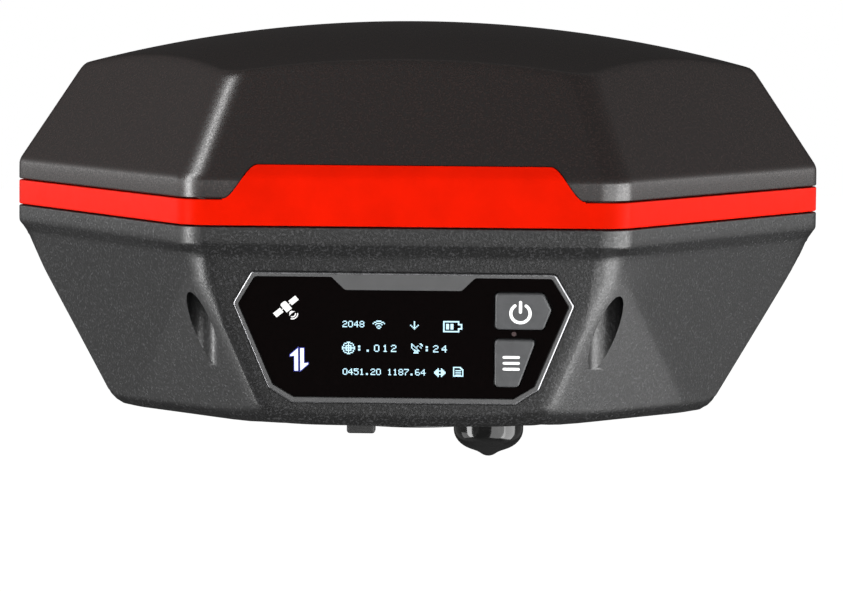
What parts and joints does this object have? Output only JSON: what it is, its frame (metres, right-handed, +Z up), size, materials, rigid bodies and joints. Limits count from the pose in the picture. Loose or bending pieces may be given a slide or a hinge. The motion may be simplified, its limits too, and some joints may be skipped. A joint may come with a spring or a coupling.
{
  "type": "gnss receiver",
  "caption": "Six-sided survey smart antenna with a domed cover, red band, front display with keys, dust-capped radio connector and a threaded pole mount underneath.",
  "frame": {"origin": "centre of the pole thread's mouth, on the end face of the mounting boss under the receiver", "axes": "+Z up along the pole thread towards the domed cover, -Y towards the display, +X to the right when facing the display"},
  "size_m": [0.153, 0.1344, 0.0804],
  "materials": {
    "housing": "fine sparkled texture, dark grey",
    "cover": "fine matte texture, near black",
    "band": "satin, red-orange",
    "seal": "matte",
    "steel": "satin",
    "bezel": "satin silver with a bright chamfer",
    "window": "polished black",
    "display_glass": "polished",
    "foam": "foam",
    "circuit_board": "solder mask",
    "light_guide": "clear",
    "ribbon": "polyimide film",
    "shield_can": "tinned",
    "chip": "moulded",
    "ceramic_chip": "fired ceramic with silver plating",
    "aluminium": "milled",
    "brass": "machined",
    "cable": "satin jacket",
    "cable_red": "satin jacket",
    "cell_wrap": "shrink film",
    "cradle": "moulded",
    "insulator": "moulded fluoropolymer",
    "keys": "satin",
    "vinyl": "dipped vinyl, glossy",
    "rubber": "matte"
  },
  "bodies": {
    "receiver": {"bottom_housing": "housing", "top_cover": "cover", "bumper_band": "band", "housing_gasket": "seal", "housing_screws": "steel", "display_bezel": "bezel", "display_window": "window", "display_panel": "display_glass", "display_pad": "foam", "display_board": "circuit_board", "key_switches": "steel", "key_seal": "seal", "light_guides": "light_guide", "display_ribbon": "ribbon", "main_board": "circuit_board", "gnss_module": "shield_can", "processor_module": "shield_can", "radio_module": "shield_can", "tilt_sensor": "chip", "beeper": "chip", "wireless_antenna": "ceramic_chip", "board_screws": "steel", "ground_plane": "aluminium", "antenna_patch_lower": "ceramic_chip", "antenna_patch_upper": "ceramic_chip", "antenna_feed_pins": "brass", "lna_shield": "shield_can", "antenna_pillars": "brass", "antenna_screws": "steel", "antenna_coax": "cable", "battery_cells": "cell_wrap", "battery_cradle": "cradle", "battery_lead": "cable_red", "mount_insert": "brass", "insert_screws": "steel", "antenna_connector": "brass", "connector_insulator": "insulator", "connector_nut": "brass", "connector_washer": "steel", "connector_pigtail": "cable", "usb_socket": "steel", "port_board": "circuit_board", "port_board_screws": "steel", "port_cable": "cable", "cover_hinge_pin": "steel"},
    "power_key": {"power_button": "keys"},
    "fn_key": {"fn_button": "keys"},
    "dust_cap": {"connector_cap": "vinyl"},
    "port_flap": {"port_cover": "rubber"}
  },
  "joints": [
    {"name": "power_press", "type": "slide", "parent": "receiver", "child": "power_key", "axis": [0, 0.9781, 0.2079], "range_m": [0, 0.0006], "stiffness_N_per_m": 1500},
    {"name": "fn_press", "type": "slide", "parent": "receiver", "child": "fn_key", "axis": [0, 0.9781, 0.2079], "range_m": [0, 0.0006], "stiffness_N_per_m": 1500},
    {"name": "cap_pull", "type": "slide", "parent": "receiver", "child": "dust_cap", "axis": [0, 0, -1], "range_m": [0, 0.014]},
    {"name": "port_open", "type": "hinge", "parent": "receiver", "child": "port_flap", "pos_m": [-0.0083, -0.0316, 0.0058], "axis": [1, 0, 0], "range_deg": [0, 100]}
  ]
}
